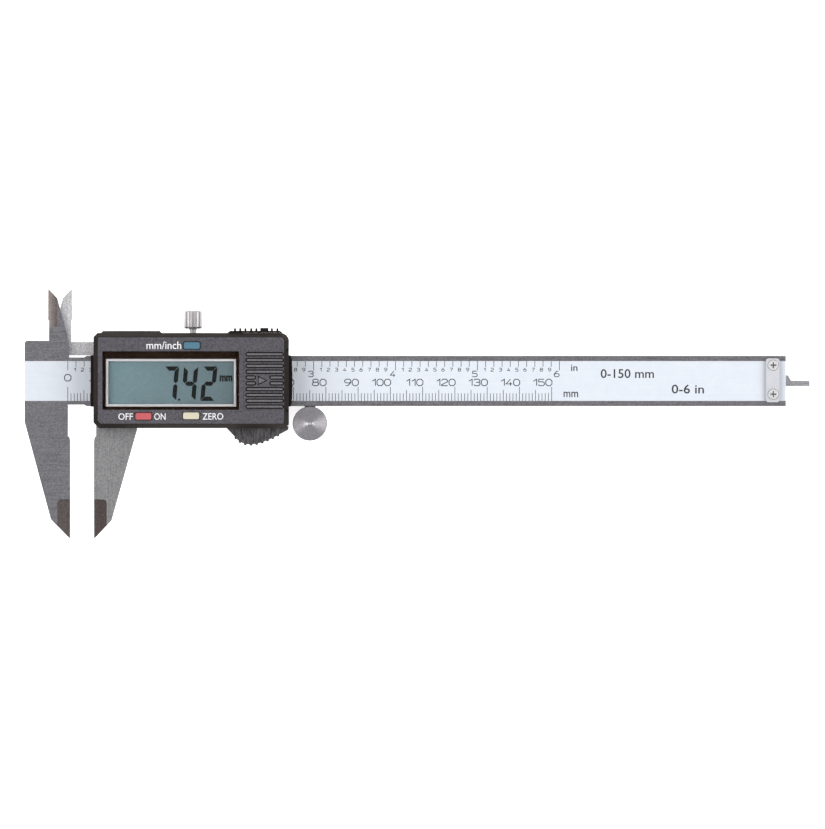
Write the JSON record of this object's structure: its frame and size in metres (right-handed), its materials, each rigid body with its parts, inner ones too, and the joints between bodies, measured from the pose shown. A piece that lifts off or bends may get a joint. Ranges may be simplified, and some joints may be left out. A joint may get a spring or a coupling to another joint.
{
  "type": "digital caliper",
  "caption": "Digital caliper with outside and inside jaws, a sliding display head, depth rod, thumb roller and lock screw, lying on its back.",
  "frame": {"origin": "centre of the bottom of the object's box, on the surface the caliper lies on", "axes": "+X along the beam from the jaws to the depth rod's end, +Y to the inside jaws, +Z out of the display"},
  "size_m": [0.2434, 0.0774, 0.0159],
  "materials": {
    "steel": "satin ground",
    "bright_steel": "fine turned",
    "brass": "drawn",
    "scale_print": "satin printed",
    "circuit_board": "solder resist",
    "black_plastic": "fine spark-eroded texture",
    "clear_window": "polished",
    "display_glass": "grey-green liquid crystal",
    "silver_bezel": "satin",
    "contact_rubber": "moulded",
    "epoxy": "cast",
    "gold_contact": "plated",
    "paper_label": "satin film",
    "blue_button": "moulded",
    "red_button": "moulded",
    "cream_button": "moulded"
  },
  "bodies": {
    "beam": {"beam": "steel", "scale_board": "circuit_board", "scale_label": "scale_print", "end_stop_plate": "bright_steel", "end_stop_screw_1": "bright_steel", "end_stop_screw_2": "bright_steel"},
    "slider": {"slider_frame": "steel", "gib_strip": "brass", "gib_set_screw_1": "steel", "gib_set_screw_2": "steel", "front_case": "black_plastic", "window_lens": "clear_window", "lcd_frame": "silver_bezel", "lcd_panel": "display_glass", "contact_strip_upper": "contact_rubber", "contact_strip_lower": "contact_rubber", "circuit_board": "circuit_board", "chip_cover": "epoxy", "port_contacts": "gold_contact", "battery_cell": "bright_steel", "battery_contact_minus": "bright_steel", "battery_contact_plus": "bright_steel", "back_label": "paper_label", "board_screw_1": "bright_steel", "board_screw_2": "bright_steel", "case_screw_1": "bright_steel", "case_screw_2": "bright_steel", "case_screw_3": "bright_steel", "case_screw_4": "bright_steel", "rod_screw_1": "bright_steel", "rod_screw_2": "bright_steel", "bracket_screw_1": "bright_steel", "bracket_screw_2": "bright_steel", "unit_switch_dome": "bright_steel", "power_switch_dome": "bright_steel", "zero_switch_dome": "bright_steel", "depth_rod": "steel", "roller_bracket": "steel", "roller_axle": "steel"},
    "lock_screw": {"lock_screw": "bright_steel"},
    "thumb_roller": {"thumb_roller": "bright_steel"},
    "unit_button": {"unit_button": "blue_button"},
    "power_button": {"power_button": "red_button"},
    "zero_button": {"zero_button": "cream_button"},
    "battery_cover": {"battery_cover": "black_plastic"},
    "data_port_cover": {"data_port_cover": "black_plastic"}
  },
  "joints": [
    {"name": "slider_slide", "type": "slide", "parent": "beam", "child": "slider", "axis": [1, 0, 0], "range_m": [-0.00742, 0.14648]},
    {"name": "thumb_roller_turn", "type": "hinge", "parent": "slider", "child": "thumb_roller", "pos_m": [-0.03326, -0.00311, 0.0039], "axis": [0, 0, 1], "range_deg": [-79, 1555]},
    {"name": "lock_screw_turn", "type": "hinge", "parent": "slider", "child": "lock_screw", "pos_m": [-0.0695, 0.02909, 0.00375], "axis": [0, -1, 0], "range_deg": [-360, 90]},
    {"name": "unit_button_press", "type": "slide", "parent": "slider", "child": "unit_button", "axis": [0, 0, -1], "range_m": [0, 0.0004], "stiffness_N_per_m": 400},
    {"name": "power_button_press", "type": "slide", "parent": "slider", "child": "power_button", "axis": [0, 0, -1], "range_m": [0, 0.0004], "stiffness_N_per_m": 400},
    {"name": "zero_button_press", "type": "slide", "parent": "slider", "child": "zero_button", "axis": [0, 0, -1], "range_m": [0, 0.0004], "stiffness_N_per_m": 400},
    {"name": "battery_cover_slide", "type": "slide", "parent": "slider", "child": "battery_cover", "axis": [1, 0, 0], "range_m": [0, 0.0145]},
    {"name": "data_port_cover_slide", "type": "slide", "parent": "slider", "child": "data_port_cover", "axis": [1, 0, 0], "range_m": [0, 0.0121]}
  ],
  "couplings": [
    {"joint": "thumb_roller_turn", "follows": "slider_slide", "rad_per_m": 185.19}
  ]
}
